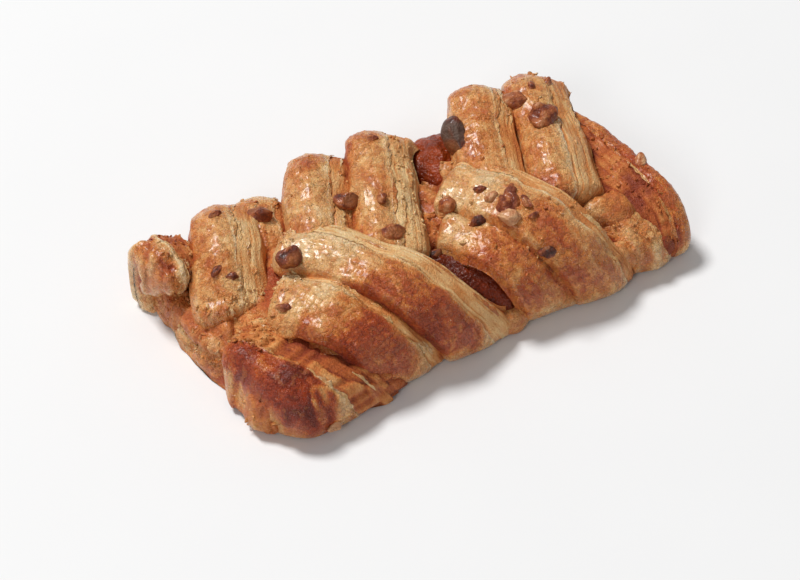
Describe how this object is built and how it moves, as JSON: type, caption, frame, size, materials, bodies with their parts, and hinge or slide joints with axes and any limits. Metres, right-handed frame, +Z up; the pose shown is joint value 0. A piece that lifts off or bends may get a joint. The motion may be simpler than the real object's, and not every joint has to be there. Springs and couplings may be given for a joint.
{
  "type": "pecan plait pastry",
  "caption": "Plaited Danish pastry of laminated dough over a dark maple filling, with pecan pieces on its glazed crust.",
  "frame": {"origin": "under the middle of the plait, on its flat base", "axes": "+X along the plait, the way its cut edges face; +Y across it, away from the picture's camera; +Z up"},
  "size_m": [0.1413, 0.0777, 0.0317],
  "materials": {
    "crust": "satin",
    "syrup": "gloss",
    "nut": "satin"
  },
  "bodies": {
    "root": {"pastry": "crust", "filling": "syrup", "pecan_1": "nut", "pecan_2": "nut", "pecan_3": "nut", "pecan_4": "nut", "pecan_5": "nut", "pecan_6": "nut", "pecan_7": "nut", "pecan_8": "nut", "pecan_9": "nut", "pecan_10": "nut"}
  },
  "joints": []
}
